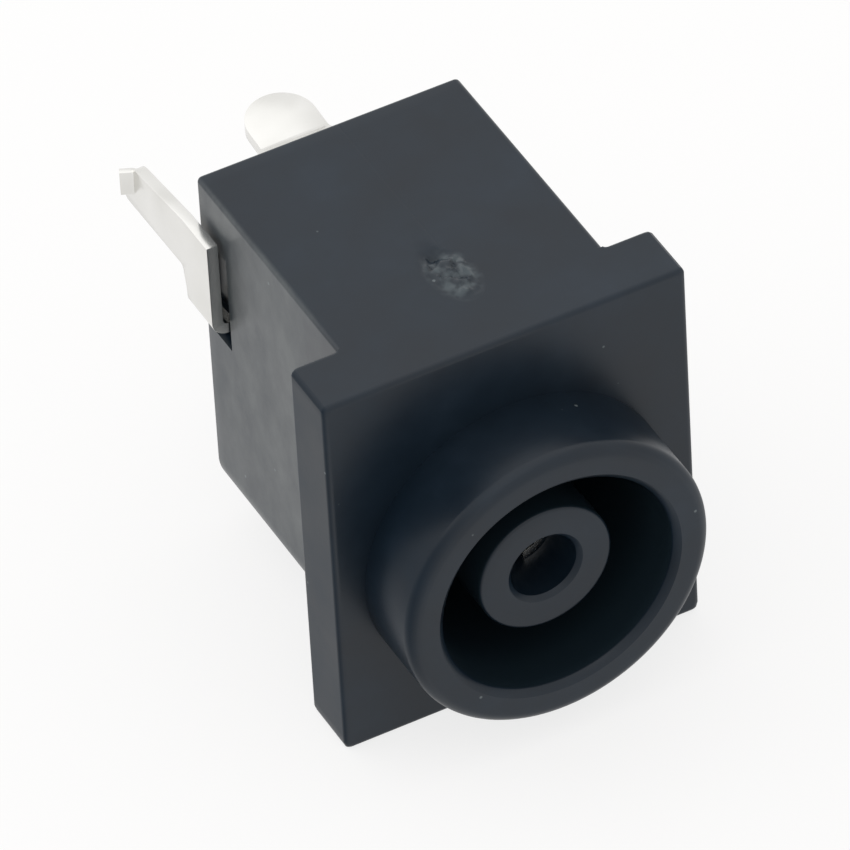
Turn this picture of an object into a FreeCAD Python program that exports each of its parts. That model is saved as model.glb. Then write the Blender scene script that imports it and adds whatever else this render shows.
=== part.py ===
import FreeCAD, Part

import math
import os

# A panel and board socket for a barrel plug with a centre pin.
# The plug axis is Y. The origin is on it, in the flange's front face.
# The nose points to -Y, the solder tabs to +Y, and +Z is up. All sizes are in millimetres.

# The plug that the socket takes
plug_outer = 6.5
plug_inner = 4.4
pin_diameter = 1.4
plug_clearance = 0.1
post_clearance = 0.27
pin_clearance = 0.02

# Flange
flange_half_width = 5.25
flange_above_axis = 6.65
flange_below_axis = 5.25
flange_depth = 1.85
flange_corner = 0.25
flange_edge = 0.18

# Body behind the flange
body_half_width = 3.85
body_below_axis = 4.25
body_length = 7.85
body_corner = 0.22
body_rear_edge = 0.12
tab_side_corner = 1.15
far_side_corner = 1.0
bottom_step = 0.15
bottom_step_x = 1.4

# Nose, bore and centre post
nose_radius = 4.4
nose_length = 2.45
nose_rim_round = 0.35
nose_base_round = 0.3
mouth_chamfer = 0.15
socket_depth = 9.75
post_recess = 0.83
post_edge = 0.1
post_mouth_chamfer = 0.11

# Sleeve contact: a plate under the top wall, a solder tab and a folded spring leaf
sleeve_sheet = 0.35
top_wall = 0.6
plate_headroom = 0.1
plate_length = 3.0
plate_plus_x = 3.1
plate_minus_x = 3.25
plate_relief = 0.5
plate_relief_depth = 0.8
upper_tab_plus_x = 0.87
upper_tab_minus_x = 1.04
upper_tab_shoulder = 0.07
upper_tab_shoulder_y = 0.9
upper_tab_drop = 0.92
upper_tab_bend_y = 1.75
upper_tab_root = 0.35
upper_tab_root_bend = 0.3
upper_tab_pad_bend = 0.25
upper_tab_rise = 0.22
upper_tab_reach = 3.45
nub_width = 0.62
nub_length = 0.3
nub_height = 0.2
strip_overlap = 0.2
leaf_half_width = 1.4
leaf_fold_height = 1.45
leaf_front = 1.05
leaf_belly_y = 3.55
leaf_belly_dip = 0.3
leaf_rear_height = 3.72
leaf_ear_x = 2.1
leaf_ear_length = 1.0
leaf_ear_skew = 0.15
leaf_ear_skew_x = 0.6
leaf_slot_inset = 0.55
leaf_slot_y = 0.3
leaf_slot_width = 0.14
leaf_slot_length = 0.9
leaf_bend = 0.35
leaf_floor_gap = 0.22

# Switch contact: a plate across the rear, bent up outside the wall into a solder tab
switch_sheet = 0.32
switch_plate_top = 2.65
switch_plate_plus_x = 3.04
switch_plate_length = 1.4
switch_wall_gap = 0.17
switch_bend = 0.15
switch_upright_top = 5.4
side_tab_top = 5.03
side_tab_bottom = 3.62
side_tab_reach = 3.6
side_tab_corner = 0.55
side_tab_lean = 0.75
side_tab_root = 0.5
side_tab_shoulder = 0.2
side_tab_tip_rise = 0.2
side_tab_tip_cut = 0.3
side_tab_neck = 0.15
side_tab_neck_drop = 0.08
side_hook_out = 0.32
side_hook_height = 0.75
side_hook_drop = 0.15
side_hook_root = 1.2
side_hook_bend_y = 0.45
side_hook_bend = 0.08
side_hook_run = 0.15
side_hook_sheet = 0.19

# Centre contact: a rolled sleeve in the post, with a flat solder tab behind it
centre_sheet = 0.22
sleeve_hole_clearance = 0.02
sleeve_front_set_back = 1.52
sleeve_length = 6.3
sleeve_seam = 0.25
tongue_length = 0.5
neck_half_width = 0.48
neck_height = 0.8
neck_length = 1.0
neck_set_back = 0.1
neck_bend = 0.1
neck_level = 0.12
lower_tab_top = 0.4
lower_tab_plus_x = 1.02
lower_tab_minus_x = 0.9
lower_tab_bend_y = 1.5
lower_tab_step = 0.22
lower_tab_step_run = 0.28
lower_tab_step_bend = 0.08
lower_tab_droop = 0.25
lower_tab_reach = 3.5
curl_out = 0.85
curl_drop = 0.75
curl_width = 0.35
curl_sheet = 0.18
curl_root = 0.1
curl_level = 0.5
curl_top_bend = 0.15
curl_side_drop = 0.41
curl_side_bend = 0.12
curl_tip_out = 0.38

# Rear face of the moulding
cavity_depth = 1.7
cavity_plus_x = 2.69
cavity_minus_x = 2.84
cavity_flare = 0.26
cavity_flare_start = 1.75
cavity_flare_end = 2.2
pocket_depth = 1.6
pocket_half_width = 3.1
pocket_top = 1.5
pocket_bottom = 3.6
pocket_corner = 0.2
pocket_cut_x = 0.5
pocket_cut_z = 0.75
slot_clearance = 0.04
slot_end_gap = 0.35
under_plate_gap = 0.42
under_plate_deep_gap = 0.75
under_plate_depth = 0.8
face_step = 0.1
face_step_height = 1.55
ledge_height = 4.0
curl_pocket_depth = 0.45
curl_pocket_out = 1.25
curl_pocket_taper = 0.1
curl_pocket_side = 0.5
curl_pocket_floor = 0.25
curl_pocket_floor_x = 0.2
ejector_radius = 0.5
ejector_depth = 0.07
ejector_places = ((3.05, -0.85), (-0.07, 1.35), (-3.2, -0.7))
mark_width = 0.3
mark_height = 0.75
mark_depth = 0.4
mark_set_out = 0.28
mark_z = 0.6
top_notch_depth = 0.28
top_notch_cover = 0.15
top_notch_plus_x = 1.2
top_notch_minus_x = 1.7
side_notch_depth = 0.3
side_notch_top = 4.8
side_notch_bottom = 1.7
side_notch_length = 1.45
side_notch_corner = 0.35

# Gate mark on the top face
gate_y = 2.95
gate_radius = 0.55
gate_depth = 0.1

# Worked out from the sizes above
rear = flange_depth + body_length
bore_radius = plug_outer / 2 + plug_clearance
mouth_radius = bore_radius + mouth_chamfer
post_radius = plug_inner / 2 - post_clearance
nose_front = -nose_length
bore_floor = socket_depth - nose_length
post_face = nose_front + post_recess
sleeve_inner = pin_diameter / 2 + pin_clearance
sleeve_outer = sleeve_inner + centre_sheet
post_hole_radius = sleeve_outer + sleeve_hole_clearance
body_bottom = -body_below_axis
cavity_front = rear - cavity_depth
slot_top = flange_above_axis - top_wall
plate_top = slot_top - plate_headroom
plate_bottom = plate_top - sleeve_sheet
plate_front = rear - plate_length
leaf_start = flange_depth + leaf_front
switch_plate_bottom = switch_plate_top - switch_sheet
switch_plate_front = rear - switch_plate_length
switch_inner_x = body_half_width + switch_wall_gap
switch_outer_x = switch_inner_x + switch_sheet
lower_tab_bottom = lower_tab_top - centre_sheet
sleeve_front = post_face + sleeve_front_set_back
sleeve_back = sleeve_front + sleeve_length
tongue_end = sleeve_back + tongue_length
tail_front = sleeve_back + neck_length

# Cutting tools stand out of the solid by this much, and a rounded end keeps this much flat
overshoot = 0.5
plan_reach = 4.0
end_flat = 0.01


def unit(start, end):
    """Direction from one point of a plane to another, with length one."""
    du = end[0] - start[0]
    dv = end[1] - start[1]
    length = math.hypot(du, dv)
    return du / length, dv / length


def rounded_wire(corners, place):
    """Closed wire through (u, v, radius) corners, with an arc at each corner that has a radius."""
    count = len(corners)
    ends = []
    for i in range(count):
        u, v, radius = corners[i]
        back = unit((u, v), corners[i - 1])
        ahead = unit((u, v), corners[(i + 1) % count])
        if radius == 0:
            ends.append(((u, v), None, (u, v)))
            continue
        half = math.acos(max(-1.0, min(1.0, back[0] * ahead[0] + back[1] * ahead[1]))) / 2
        reach = radius / math.tan(half)
        middle = unit((0, 0), (back[0] + ahead[0], back[1] + ahead[1]))
        to_arc = radius / math.sin(half) - radius
        ends.append(
            (
                (u + back[0] * reach, v + back[1] * reach),
                (u + middle[0] * to_arc, v + middle[1] * to_arc),
                (u + ahead[0] * reach, v + ahead[1] * reach),
            )
        )
    edges = []
    for i in range(count):
        start, middle, end = ends[i]
        if middle is not None:
            edges.append(Part.Arc(place(*start), place(*middle), place(*end)).toShape())
        following = ends[(i + 1) % count][0]
        if math.dist(end, following) > 1e-6:
            edges.append(Part.makeLine(place(*end), place(*following)))
    return Part.Wire(edges)


def prism_y(corners, y_start, y_end):
    """Solid with an outline in X and Z, from one Y to another."""
    wire = rounded_wire(corners, lambda x, z: FreeCAD.Vector(x, y_start, z))
    return Part.Face(wire).extrude(FreeCAD.Vector(0, y_end - y_start, 0))


def prism_z(corners, z_start, z_end):
    """Solid with an outline in X and Y, from one Z to another."""
    wire = rounded_wire(corners, lambda x, y: FreeCAD.Vector(x, y, z_start))
    return Part.Face(wire).extrude(FreeCAD.Vector(0, 0, z_end - z_start))


def prism_x(corners, x_start, x_end):
    """Solid with an outline in Y and Z, from one X to another."""
    wire = rounded_wire(corners, lambda y, z: FreeCAD.Vector(x_start, y, z))
    return Part.Face(wire).extrude(FreeCAD.Vector(x_end - x_start, 0, 0))


def block(x_low, x_high, y_low, y_high, z_low, z_high):
    """Square-cornered solid between two corners."""
    size = (x_high - x_low, y_high - y_low, z_high - z_low)
    return Part.makeBox(*size, FreeCAD.Vector(x_low, y_low, z_low))


def turned(corners):
    """Solid turned about the plug axis, from (radius, y, corner radius) corners."""
    wire = rounded_wire(corners, lambda r, y: FreeCAD.Vector(r, y, 0))
    return Part.Face(wire).revolve(FreeCAD.Vector(0, 0, 0), FreeCAD.Vector(0, 1, 0), 360)


def sheet_outline(path, thickness, side):
    """Corners of a bent sheet seen edge-on. The path is (u, v, inner bend radius) along one of its faces.

    The sheet lies to the right of the path for side 1 and to the left for side -1."""
    near = []
    far = []
    last = len(path) - 1
    for i in range(last + 1):
        u, v, bend = path[i]
        before = unit(path[i - 1], path[i]) if i > 0 else unit(path[0], path[1])
        after = unit(path[i], path[i + 1]) if i < last else before
        normals = [(side * d[1], -side * d[0]) for d in (before, after)]
        share = 1 + normals[0][0] * normals[1][0] + normals[0][1] * normals[1][1]
        mitre_u = (normals[0][0] + normals[1][0]) / share
        mitre_v = (normals[0][1] + normals[1][1]) / share
        turn = side * (before[0] * after[1] - before[1] * after[0])
        outer = bend + thickness if bend else 0
        near.append((u, v, bend if turn > 0 else outer))
        far.append((u + mitre_u * thickness, v + mitre_v * thickness, outer if turn > 0 else bend))
    return near + far[::-1]


def round_edges(solid, radius, wanted):
    """The solid with a fillet on every edge that the test picks."""
    edges = [edge for edge in solid.Edges if wanted(edge)]
    return solid.makeFillet(radius, edges)


def lies_at_y(edge, y):
    """Whether an edge lies in the plane of that Y."""
    box = edge.BoundBox
    return abs(box.YMin - y) < 1e-4 and abs(box.YMax - y) < 1e-4


def joined(solids):
    """One solid from pieces that run into each other."""
    return solids[0].multiFuse(solids[1:]).removeSplitter()


# Housing

def make_flange():
    """Square flange with softened corners and edges."""
    corners = [
        (-flange_half_width, flange_above_axis, flange_corner),
        (flange_half_width, flange_above_axis, flange_corner),
        (flange_half_width, -flange_below_axis, flange_corner),
        (-flange_half_width, -flange_below_axis, flange_corner),
    ]
    plate = prism_y(corners, 0, flange_depth)
    return round_edges(plate, flange_edge, lambda e: lies_at_y(e, 0) or lies_at_y(e, flange_depth))


def make_body():
    """Body whose top is level with the flange, with a stepped bottom and two large lower rounds."""
    lowest = body_bottom - bottom_step
    corners = [
        (-body_half_width, flange_above_axis, body_corner),
        (body_half_width, flange_above_axis, body_corner),
        (body_half_width, lowest, far_side_corner),
        (bottom_step_x, lowest, 0),
        (bottom_step_x, body_bottom, 0),
        (-body_half_width, body_bottom, tab_side_corner),
    ]
    bar = prism_y(corners, flange_edge, rear)
    return round_edges(bar, body_rear_edge, lambda e: lies_at_y(e, rear))


def make_nose():
    """Round nose with a soft rim, spreading a little where it meets the flange."""
    root = flange_depth / 2
    foot = nose_radius + nose_base_round
    corners = [
        (0, nose_front, 0),
        (nose_radius, nose_front, nose_rim_round),
        (nose_radius, 0, nose_base_round),
        (foot + nose_base_round, 0, 0),
        (foot + nose_base_round, root, 0),
        (0, root, 0),
    ]
    return turned(corners)


def make_socket_space():
    """Ring-shaped space that the plug's barrel enters, round the centre post."""
    outside = nose_front - overshoot
    corners = [
        (0, outside, 0),
        (mouth_radius, outside, 0),
        (mouth_radius, nose_front, 0),
        (bore_radius, nose_front + mouth_chamfer, 0),
        (bore_radius, bore_floor, 0),
        (post_radius, bore_floor, 0),
        (post_radius, post_face, post_edge),
        (0, post_face, 0),
    ]
    return turned(corners)


def make_post_hole():
    """Hole through the post for the rolled sleeve, open at the rear where the sleeve goes in."""
    mouth = post_hole_radius + post_mouth_chamfer
    corners = [
        (0, post_face - overshoot, 0),
        (mouth, post_face - overshoot, 0),
        (mouth, post_face, 0),
        (post_hole_radius, post_face + post_mouth_chamfer, 0),
        (post_hole_radius, rear + overshoot, 0),
        (0, rear + overshoot, 0),
    ]
    return turned(corners)


def make_sleeve_contact_space():
    """Slot for the top plate, channel for the spring leaf and the upper cavity at the rear."""
    side_gap = slot_end_gap
    slot = block(
        -plate_minus_x - side_gap,
        plate_plus_x + side_gap,
        plate_front - slot_clearance,
        rear + overshoot,
        plate_bottom - slot_clearance,
        slot_top,
    )
    channel_half = leaf_half_width + side_gap
    channel_top = plate_top + slot_clearance
    belly_floor = bore_radius - leaf_belly_dip - leaf_floor_gap
    rear_floor = leaf_rear_height - sleeve_sheet - leaf_floor_gap
    channel_front = leaf_start - slot_clearance
    channel_back = cavity_front + overshoot
    over_bore = block(-channel_half, channel_half, channel_front, bore_floor, belly_floor, channel_top)
    over_wall = block(-channel_half, channel_half, channel_front, channel_back, rear_floor, channel_top)
    cavity = prism_y(
        [
            (-cavity_minus_x, plate_bottom, 0),
            (cavity_plus_x, plate_bottom, 0),
            (cavity_plus_x, plate_bottom - cavity_flare_start, 0),
            (cavity_plus_x + cavity_flare, plate_bottom - cavity_flare_end, 0),
            (cavity_plus_x + cavity_flare, switch_plate_top, 0),
            (-cavity_minus_x, switch_plate_top, 0),
        ],
        cavity_front,
        rear + overshoot,
    )
    nub_relief = block(
        upper_tab_plus_x,
        upper_tab_plus_x + nub_width + slot_clearance * 2,
        rear - nub_length - slot_clearance,
        rear + overshoot,
        plate_top,
        plate_top + nub_height + slot_clearance,
    )
    return [slot, over_bore, over_wall, cavity, nub_relief]


def make_switch_contact_space():
    """Slot for the switch plate, the gaps below it and the shallow notch outside the wall."""
    slot = block(
        -body_half_width - overshoot,
        switch_plate_plus_x + slot_end_gap,
        switch_plate_front - slot_clearance,
        rear + overshoot,
        switch_plate_bottom - slot_clearance,
        switch_plate_top + slot_clearance,
    )
    gap_front = rear - under_plate_depth
    gap = block(
        -body_half_width - overshoot,
        switch_plate_plus_x,
        gap_front,
        rear + overshoot,
        switch_plate_bottom - under_plate_gap,
        switch_plate_bottom,
    )
    deep_gap = block(
        -body_half_width - overshoot,
        -cavity_minus_x + under_plate_gap,
        gap_front,
        rear + overshoot,
        switch_plate_bottom - under_plate_deep_gap,
        switch_plate_bottom,
    )
    notch = prism_x(
        [
            (rear - side_notch_length, side_notch_bottom, side_notch_corner),
            (rear + overshoot, side_notch_bottom, 0),
            (rear + overshoot, side_notch_top, 0),
            (rear - side_notch_length, side_notch_top, side_notch_corner),
        ],
        -body_half_width - overshoot,
        -body_half_width + side_notch_depth,
    )
    return [slot, gap, deep_gap, notch]


def make_centre_contact_space():
    """Flat slot behind the post hole for the lower tab, and the pocket round its curl."""
    slot = block(
        -lower_tab_minus_x - slot_clearance,
        lower_tab_plus_x + slot_clearance,
        tail_front - neck_length / 2,
        rear + overshoot,
        lower_tab_bottom - slot_clearance,
        lower_tab_top + slot_clearance,
    )
    curl_x = lower_tab_plus_x + curl_out
    floor_z = lower_tab_top - curl_drop - curl_pocket_floor
    pocket = prism_y(
        [
            (lower_tab_plus_x, lower_tab_top + slot_clearance, 0),
            (curl_x + curl_pocket_out, lower_tab_top + slot_clearance, 0),
            (curl_x + curl_pocket_out - curl_pocket_taper, lower_tab_top - curl_pocket_side, 0),
            (curl_x + curl_pocket_floor_x, floor_z, 0),
            (lower_tab_plus_x, floor_z, 0),
        ],
        rear - curl_pocket_depth,
        rear + overshoot,
    )
    return [slot, pocket]


def make_lower_pocket():
    """Weight-saving pocket below the centre contact. One corner follows the body's large round."""
    corners = [
        (-pocket_half_width, -pocket_top, pocket_corner),
        (pocket_half_width, -pocket_top, pocket_corner),
        (pocket_half_width, -pocket_bottom, pocket_corner),
        (-pocket_half_width + pocket_cut_x, -pocket_bottom, pocket_corner),
        (-pocket_half_width, -pocket_bottom + pocket_cut_z, pocket_corner),
    ]
    return prism_y(corners, rear - pocket_depth, rear + overshoot)


def make_face_details():
    """Steps, ejector marks and small recesses that the mould leaves in the rear face."""
    lower_step = block(
        upper_tab_plus_x / 2,
        body_half_width - body_corner,
        rear - face_step,
        rear + overshoot,
        -pocket_top,
        face_step_height,
    )
    ledge = block(
        -body_half_width - overshoot,
        -cavity_minus_x + slot_clearance,
        rear - face_step,
        rear + overshoot,
        switch_plate_top,
        ledge_height,
    )
    mark_x = -cavity_minus_x - mark_set_out
    mark = block(
        mark_x - mark_width / 2,
        mark_x + mark_width / 2,
        rear - mark_depth,
        rear + overshoot,
        mark_z - mark_height / 2,
        mark_z + mark_height / 2,
    )
    ejectors = []
    for x, z in ejector_places:
        start = FreeCAD.Vector(x, rear - face_step - ejector_depth, z)
        length = face_step + ejector_depth + overshoot
        ejectors.append(Part.makeCylinder(ejector_radius, length, start, FreeCAD.Vector(0, 1, 0)))
    top_notch = block(
        -top_notch_minus_x,
        top_notch_plus_x,
        rear - top_notch_depth,
        rear + overshoot,
        plate_top,
        flange_above_axis - top_notch_cover,
    )
    return [lower_step, ledge, mark, top_notch] + ejectors


def make_gate_mark():
    """Shallow round dimple where the plastic was fed in, in the middle of the top face."""
    start = FreeCAD.Vector(0, gate_y, flange_above_axis - gate_depth)
    return Part.makeCylinder(gate_radius, gate_depth + overshoot, start, FreeCAD.Vector(0, 0, 1))


def make_housing():
    """The black moulding: flange, body, nose and centre post in one piece."""
    solid = joined([make_flange(), make_body(), make_nose()])
    spaces = [make_socket_space(), make_post_hole(), make_lower_pocket(), make_gate_mark()]
    spaces += make_sleeve_contact_space()
    spaces += make_switch_contact_space()
    spaces += make_centre_contact_space()
    spaces += make_face_details()
    return solid.cut(spaces).removeSplitter()


# Sleeve contact

def make_top_plate():
    """Plate in the slot under the top wall, with a relief beside the tab."""
    relief_x = -upper_tab_minus_x - plate_relief
    relief_y = rear - plate_relief_depth
    corners = [
        (plate_plus_x, plate_front, 0),
        (plate_plus_x, rear, 0),
        (-upper_tab_minus_x, rear, 0),
        (-upper_tab_minus_x, relief_y, 0),
        (relief_x, relief_y, 0),
        (relief_x, rear, 0),
        (-plate_minus_x, rear, 0),
        (-plate_minus_x, plate_front, 0),
    ]
    plate = prism_z(corners, plate_bottom, plate_top)
    tab_root = block(
        -upper_tab_minus_x - slot_clearance,
        upper_tab_plus_x,
        relief_y,
        rear + slot_clearance,
        plate_bottom - slot_clearance,
        plate_top + slot_clearance,
    )
    nub = block(
        upper_tab_plus_x + slot_clearance,
        upper_tab_plus_x + nub_width,
        rear - nub_length,
        rear,
        plate_bottom,
        plate_top + nub_height,
    )
    return plate.cut(tab_root).fuse(nub)


def make_upper_tab():
    """Solder tab that slopes down behind the housing and ends in a level, rounded pad."""
    start = rear - plate_relief_depth
    bend_y = rear + upper_tab_bend_y
    bend_z = plate_top - upper_tab_drop
    tip_y = rear + upper_tab_reach
    path = [
        (start - slot_clearance, plate_top, 0),
        (rear - upper_tab_root, plate_top, upper_tab_root_bend),
        (bend_y, bend_z, upper_tab_pad_bend),
        (tip_y + overshoot, bend_z + upper_tab_rise, 0),
    ]
    strip = prism_x(
        sheet_outline(path, sleeve_sheet, 1),
        -upper_tab_minus_x - upper_tab_shoulder,
        upper_tab_plus_x,
    )
    shoulder_y = rear + upper_tab_shoulder_y
    end_minus_x = upper_tab_minus_x + upper_tab_shoulder
    end_round = (upper_tab_plus_x + end_minus_x) / 2 - end_flat
    plan = prism_z(
        [
            (upper_tab_plus_x, start - slot_clearance, 0),
            (upper_tab_plus_x, tip_y, end_round),
            (-end_minus_x, tip_y, end_round),
            (-end_minus_x, shoulder_y, 0),
            (-upper_tab_minus_x, shoulder_y, 0),
            (-upper_tab_minus_x, start - slot_clearance, 0),
        ],
        plate_top - plan_reach,
        plate_top + plan_reach,
    )
    return strip.common(plan)


def make_spring_leaf():
    """Leaf that runs forward under the top wall, folds back and dips into the bore over the plug."""
    belly_z = bore_radius - leaf_belly_dip - slot_clearance
    path = [
        (plate_front + strip_overlap, plate_top, 0),
        (leaf_start, plate_top, leaf_bend),
        (leaf_start, plate_top - leaf_fold_height, leaf_bend),
        (leaf_start + leaf_belly_y - leaf_front, belly_z, leaf_bend),
        (cavity_front + strip_overlap, leaf_rear_height - sleeve_sheet, leaf_bend),
        (rear - leaf_ear_length, leaf_rear_height - sleeve_sheet, 0),
    ]
    return prism_x(sheet_outline(path, sleeve_sheet, -1), -leaf_half_width, leaf_half_width)


def make_leaf_ear():
    """Wider end of the leaf, seen in the upper cavity, with a narrow slot let into it."""
    front = rear - leaf_ear_length
    back = rear - leaf_ear_skew
    corners = [
        (-leaf_half_width, front, 0),
        (leaf_ear_x, front, 0),
        (leaf_ear_x, back - leaf_ear_skew, 0),
        (-leaf_half_width + leaf_ear_skew_x, back, 0),
        (-leaf_half_width, back - leaf_ear_skew, 0),
    ]
    ear = prism_z(corners, leaf_rear_height - sleeve_sheet, leaf_rear_height)
    slot_y = front + leaf_slot_y
    slot_x = leaf_ear_x - leaf_slot_inset
    slot = block(
        slot_x - leaf_slot_length,
        slot_x,
        slot_y,
        slot_y + leaf_slot_width,
        leaf_rear_height - sleeve_sheet - overshoot,
        leaf_rear_height + overshoot,
    )
    return ear.cut(slot)


def make_sleeve_contact():
    """Contact for the plug's barrel, stamped and folded from one strip."""
    return joined([make_top_plate(), make_upper_tab(), make_spring_leaf(), make_leaf_ear()])


# Switch contact

def make_switch_plate():
    """Plate across the rear of the housing, bent up outside its side wall."""
    path = [
        (switch_plate_plus_x, switch_plate_bottom, 0),
        (-switch_outer_x, switch_plate_bottom, switch_bend),
        (-switch_outer_x, switch_upright_top, 0),
    ]
    return prism_y(sheet_outline(path, switch_sheet, 1), switch_plate_front, rear)


def make_side_tab():
    """Flat tab behind the upright, with a rounded end."""
    tip = rear + side_tab_reach
    foot_z = switch_plate_top + switch_bend * 2
    corners = [
        (rear - side_tab_root, switch_upright_top, 0),
        (rear, switch_upright_top, side_tab_shoulder),
        (tip - side_tab_lean, side_tab_top, side_tab_corner),
        (tip, side_tab_bottom + side_tab_tip_rise, side_tab_corner / 3),
        (tip - side_tab_tip_cut, side_tab_bottom, side_tab_corner / 3),
        (rear + side_tab_neck, side_tab_bottom + side_tab_neck_drop, side_tab_neck),
        (rear, foot_z, 0),
        (rear - side_tab_root, foot_z, 0),
    ]
    return prism_x(corners, -switch_outer_x, -switch_inner_x)


def make_side_hook():
    """Small lip turned outwards at the end of the side tab."""
    start = rear + side_tab_reach - side_hook_root
    bend_y = start + side_hook_bend_y
    top = side_tab_top - side_hook_drop
    path = [
        (-switch_outer_x, start, 0),
        (-switch_outer_x, bend_y, side_hook_bend),
        (-switch_outer_x - side_hook_out, bend_y + side_hook_run, 0),
    ]
    return prism_z(sheet_outline(path, side_hook_sheet, 1), top - side_hook_height, top)


def make_switch_contact():
    """Contact that the spring leaf leaves when a plug goes in, from one strip."""
    return joined([make_switch_plate(), make_side_tab(), make_side_hook()])


# Centre contact

def make_sleeve():
    """Sleeve rolled from sheet, with an open seam below and a tongue of its top wall carried on behind."""
    y_axis = FreeCAD.Vector(0, 1, 0)
    start = FreeCAD.Vector(0, sleeve_front, 0)
    length = sleeve_length + tongue_length
    outer = Part.makeCylinder(sleeve_outer, length, start, y_axis)
    inner = Part.makeCylinder(sleeve_inner, length, start, y_axis)
    far = sleeve_outer + overshoot
    end = sleeve_front + length + overshoot
    seam = block(-sleeve_seam / 2, sleeve_seam / 2, sleeve_front - overshoot, end, -far, 0)
    under = block(-far, far, sleeve_back, end, -far, 0)
    minus_side = block(-far, -neck_half_width, sleeve_back, end, -far, far)
    plus_side = block(neck_half_width, far, sleeve_back, end, -far, far)
    return outer.cut([inner, seam, under, minus_side, plus_side])


def make_lower_tab():
    """Neck that takes over from the tongue, flat tail through the rear wall, small step and rounded pad."""
    neck_start = sleeve_back + neck_set_back
    bend_y = rear + lower_tab_bend_y
    tip_y = rear + lower_tab_reach
    path = [
        (neck_start, neck_height, 0),
        (tongue_end + neck_level, neck_height, neck_bend),
        (tail_front, lower_tab_top, neck_bend),
        (bend_y, lower_tab_top, lower_tab_step_bend),
        (bend_y + lower_tab_step_run, lower_tab_top - lower_tab_step, lower_tab_step_bend),
        (tip_y + overshoot, lower_tab_top - lower_tab_step - lower_tab_droop, 0),
    ]
    strip = prism_x(sheet_outline(path, centre_sheet, 1), -lower_tab_minus_x, lower_tab_plus_x)
    end_round = (lower_tab_plus_x + lower_tab_minus_x) / 2 - end_flat
    plan = prism_z(
        [
            (-neck_half_width, neck_start, 0),
            (neck_half_width, neck_start, 0),
            (neck_half_width, tail_front, 0),
            (lower_tab_plus_x, tail_front, 0),
            (lower_tab_plus_x, tip_y, end_round),
            (-lower_tab_minus_x, tip_y, end_round),
            (-lower_tab_minus_x, tail_front, 0),
            (-neck_half_width, tail_front, 0),
        ],
        lower_tab_top - plan_reach,
        lower_tab_top + plan_reach,
    )
    pin_path_length = tongue_end + slot_clearance - sleeve_back
    pin_path = Part.makeCylinder(
        sleeve_inner,
        pin_path_length,
        FreeCAD.Vector(0, sleeve_back, 0),
        FreeCAD.Vector(0, 1, 0),
    )
    return strip.common(plan).cut(pin_path)


def make_curl():
    """Ear beside the tail that curls down against the rear face."""
    path = [
        (lower_tab_plus_x - curl_root, lower_tab_top, 0),
        (lower_tab_plus_x + curl_level, lower_tab_top, curl_top_bend),
        (lower_tab_plus_x + curl_out, lower_tab_top - curl_side_drop, curl_side_bend),
        (lower_tab_plus_x + curl_tip_out, lower_tab_top - curl_drop, 0),
    ]
    return prism_y(sheet_outline(path, curl_sheet, 1), rear - curl_width, rear)


def make_centre_contact():
    """Contact for the plug's pin, from one strip."""
    return joined([make_sleeve(), make_lower_tab(), make_curl()])


def main():
    """Write every piece to its own file."""
    os.makedirs("parts", exist_ok=True)
    pieces = {
        "housing": make_housing(),
        "sleeve_contact": make_sleeve_contact(),
        "switch_contact": make_switch_contact(),
        "centre_contact": make_centre_contact(),
    }
    for name, shape in pieces.items():
        solid = shape.Solids[0] if len(shape.Solids) == 1 else shape
        print(name, "solids", len(shape.Solids), "valid", shape.isValid(), "volume", round(shape.Volume, 3))
        solid.exportStep("parts/" + name + ".step")


main()
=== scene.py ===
# %% [markdown]
# A dc barrel jack is the socket that takes the plug of a small power supply. This one is a black
# moulded housing with a round nose, and three stamped metal contacts that end in solder tabs.
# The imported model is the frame. Everything below is drawn in its axes: -Y is the way the plug leaves,
# +Y is the solder side and +Z is the flat top. Blender works in metres and the sizes here are in
# millimetres, so each is multiplied by MM on its way into a mesh, a material or a lamp.

# %% Load the frame
import math

import bpy
import numpy as np
from mathutils import Matrix, Vector


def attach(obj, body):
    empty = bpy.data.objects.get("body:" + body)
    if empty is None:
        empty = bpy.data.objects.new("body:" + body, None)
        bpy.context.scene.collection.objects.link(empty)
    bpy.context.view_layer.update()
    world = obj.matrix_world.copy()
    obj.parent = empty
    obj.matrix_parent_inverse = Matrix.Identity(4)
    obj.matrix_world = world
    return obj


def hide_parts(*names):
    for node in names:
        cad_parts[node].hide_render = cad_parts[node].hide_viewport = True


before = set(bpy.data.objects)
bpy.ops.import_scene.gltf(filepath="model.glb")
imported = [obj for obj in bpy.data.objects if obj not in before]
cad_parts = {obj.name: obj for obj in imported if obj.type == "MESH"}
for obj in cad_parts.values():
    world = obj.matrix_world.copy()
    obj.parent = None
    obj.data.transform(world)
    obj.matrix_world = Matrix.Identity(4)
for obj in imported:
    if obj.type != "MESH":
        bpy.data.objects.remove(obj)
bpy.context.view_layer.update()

MM = 0.001

# %% [markdown]
# A mesh can be drawn by hand, built up with modifiers or worked out. The sizes of this part are known
# as numbers, so its housing is worked out: a few helpers choose the lines of a grid, join rings of
# points with faces, and hand the arrays to Blender. Faces that meet at more than a set angle keep a
# crisp edge, and all others are shaded smooth.

# %% Helpers for meshes
CRISP_ANGLE = 30
WALL_HALF = 0.008


def piece_from_arrays(name, points, quads, triangles=()):
    """Mesh object from vertex places in millimetres, four-cornered faces and three-cornered faces."""
    mesh = bpy.data.meshes.new(name)
    faces = [tuple(corners) for part in (quads, triangles) for corners in np.asarray(part).tolist()]
    mesh.from_pydata((np.asarray(points, float) * MM).tolist(), [], faces)
    mesh.validate()
    mesh.shade_smooth()
    mesh.set_sharp_from_angle(angle=math.radians(CRISP_ANGLE))
    piece = bpy.data.objects.new(name, mesh)
    bpy.context.scene.collection.objects.link(piece)
    print(name, len(mesh.vertices), "vertices", len(mesh.polygons), "faces")
    return piece


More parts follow.
